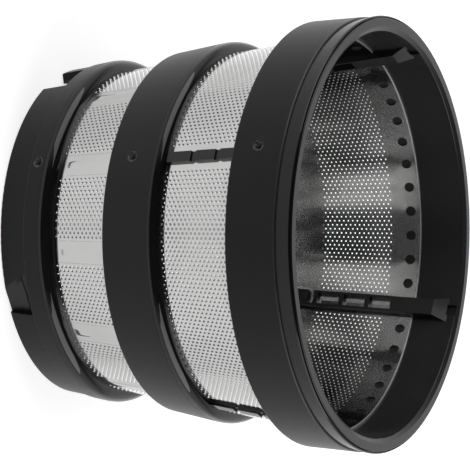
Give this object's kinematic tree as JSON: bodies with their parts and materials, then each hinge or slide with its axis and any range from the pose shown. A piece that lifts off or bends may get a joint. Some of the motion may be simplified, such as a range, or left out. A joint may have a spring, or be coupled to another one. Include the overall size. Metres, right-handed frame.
{
  "type": "juicer mesh screen",
  "caption": "Tapered strainer basket for a slow juicer: perforated steel cone held in black moulded rings and bars, open at both ends.",
  "frame": {"origin": "centre of the base ring's lower face, on the axis", "axes": "+Z along the axis towards the wide mouth; the side seen in the picture looks towards -Y"},
  "size_m": [0.108, 0.108, 0.0857],
  "materials": {
    "screen_steel": "perforated stainless sheet, satin",
    "frame_plastic": "black moulded plastic, satin bands and glossy noses"
  },
  "bodies": {
    "root": {"mesh_sheet": "screen_steel", "rim_frame": "frame_plastic", "base_ring": "frame_plastic"}
  },
  "joints": []
}
